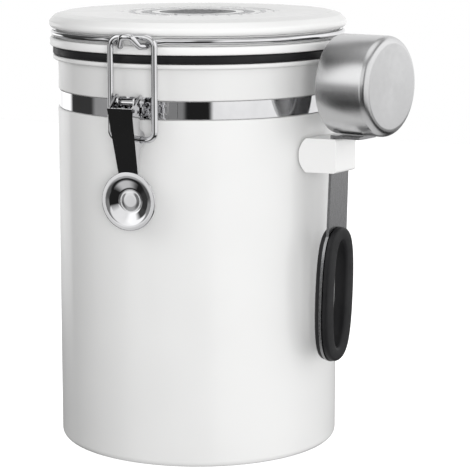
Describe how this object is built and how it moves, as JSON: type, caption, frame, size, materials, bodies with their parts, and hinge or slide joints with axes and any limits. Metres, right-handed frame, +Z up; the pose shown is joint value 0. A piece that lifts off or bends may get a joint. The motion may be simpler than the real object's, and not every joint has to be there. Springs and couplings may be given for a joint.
{
  "type": "food storage canister",
  "caption": "Round coated steel canister with a plug lid on a wire hinge, an over-centre wire clamp, a date dial, a one-way valve and a clip-on scoop.",
  "frame": {"origin": "centre of the flat base, on the surface that the canister stands on", "axes": "+Z up along the can's axis, -Y through the latch, +Y through the lid's hinge, the scoop on the +X side"},
  "size_m": [0.1683, 0.1486, 0.192],
  "materials": {
    "white_coat": "satin",
    "polished_steel": "polished stainless steel",
    "brushed_steel": "brushed",
    "white_plastic": "gloss",
    "grey_plastic": "matte",
    "dark_plastic": "matte",
    "black_silicone": "soft matte",
    "filter_felt": "matte",
    "foam_tape": "matte"
  },
  "bodies": {
    "can": {"can_shell": "white_coat", "neck_band": "polished_steel", "band_clip": "polished_steel", "latch_bracket": "polished_steel", "latch_rivet_1": "polished_steel", "latch_rivet_2": "polished_steel", "latch_rivet_3": "polished_steel", "latch_rivet_4": "polished_steel", "lever_pin": "polished_steel", "hinge_bracket": "polished_steel", "hinge_rivet_1": "polished_steel", "hinge_rivet_2": "polished_steel", "hinge_rivet_3": "polished_steel", "hinge_rivet_4": "polished_steel", "holder_pad": "foam_tape", "scoop_holder": "white_plastic"},
    "lid": {"lid_wire": "polished_steel", "lid_gasket": "black_silicone", "lid_base": "white_plastic", "lid_cap": "white_plastic", "index_mark_1": "grey_plastic", "index_mark_2": "grey_plastic", "valve_body": "white_plastic", "valve_grille": "dark_plastic", "filter_disc": "filter_felt", "valve_cover": "white_plastic"},
    "day_dial": {"day_dial": "white_plastic"},
    "month_dial": {"month_dial": "grey_plastic"},
    "valve": {"valve_flap": "black_silicone"},
    "lever": {"latch_lever": "polished_steel"},
    "link": {"link_wire": "polished_steel"},
    "scoop": {"scoop_cup": "brushed_steel", "scoop_handle": "brushed_steel", "scoop_grip": "black_silicone"}
  },
  "joints": [
    {"name": "lid_hinge", "type": "hinge", "parent": "can", "child": "lid", "pos_m": [0, 0.068, 0.16], "axis": [-1, 0, 0], "range_deg": [0, 105]},
    {"name": "lever_pivot", "type": "hinge", "parent": "can", "child": "lever", "pos_m": [0, -0.07, 0.158], "axis": [-1, 0, 0], "range_deg": [0, 105]},
    {"name": "link_pivot", "type": "hinge", "parent": "lever", "child": "link", "pos_m": [0, -0.068, 0.1426], "axis": [-1, 0, 0], "range_deg": [-76, 0]},
    {"name": "day_dial_turn", "type": "hinge", "parent": "lid", "child": "day_dial", "pos_m": [0, 0, 0.1905], "axis": [0, 0, 1], "continuous": true},
    {"name": "month_dial_turn", "type": "hinge", "parent": "lid", "child": "month_dial", "pos_m": [0, 0, 0.1905], "axis": [0, 0, 1], "continuous": true},
    {"name": "valve_lift", "type": "slide", "parent": "lid", "child": "valve", "axis": [0, 0, 1], "range_m": [0, 0.0008], "stiffness_N_per_m": 20},
    {"name": "scoop_slide", "type": "slide", "parent": "can", "child": "scoop", "axis": [0.2079, 0.9781, 0], "range_m": [0, 0.06]}
  ],
  "couplings": [
    {"joint": "link_pivot", "follows": "lever_pivot", "ratio": -0.72}
  ]
}
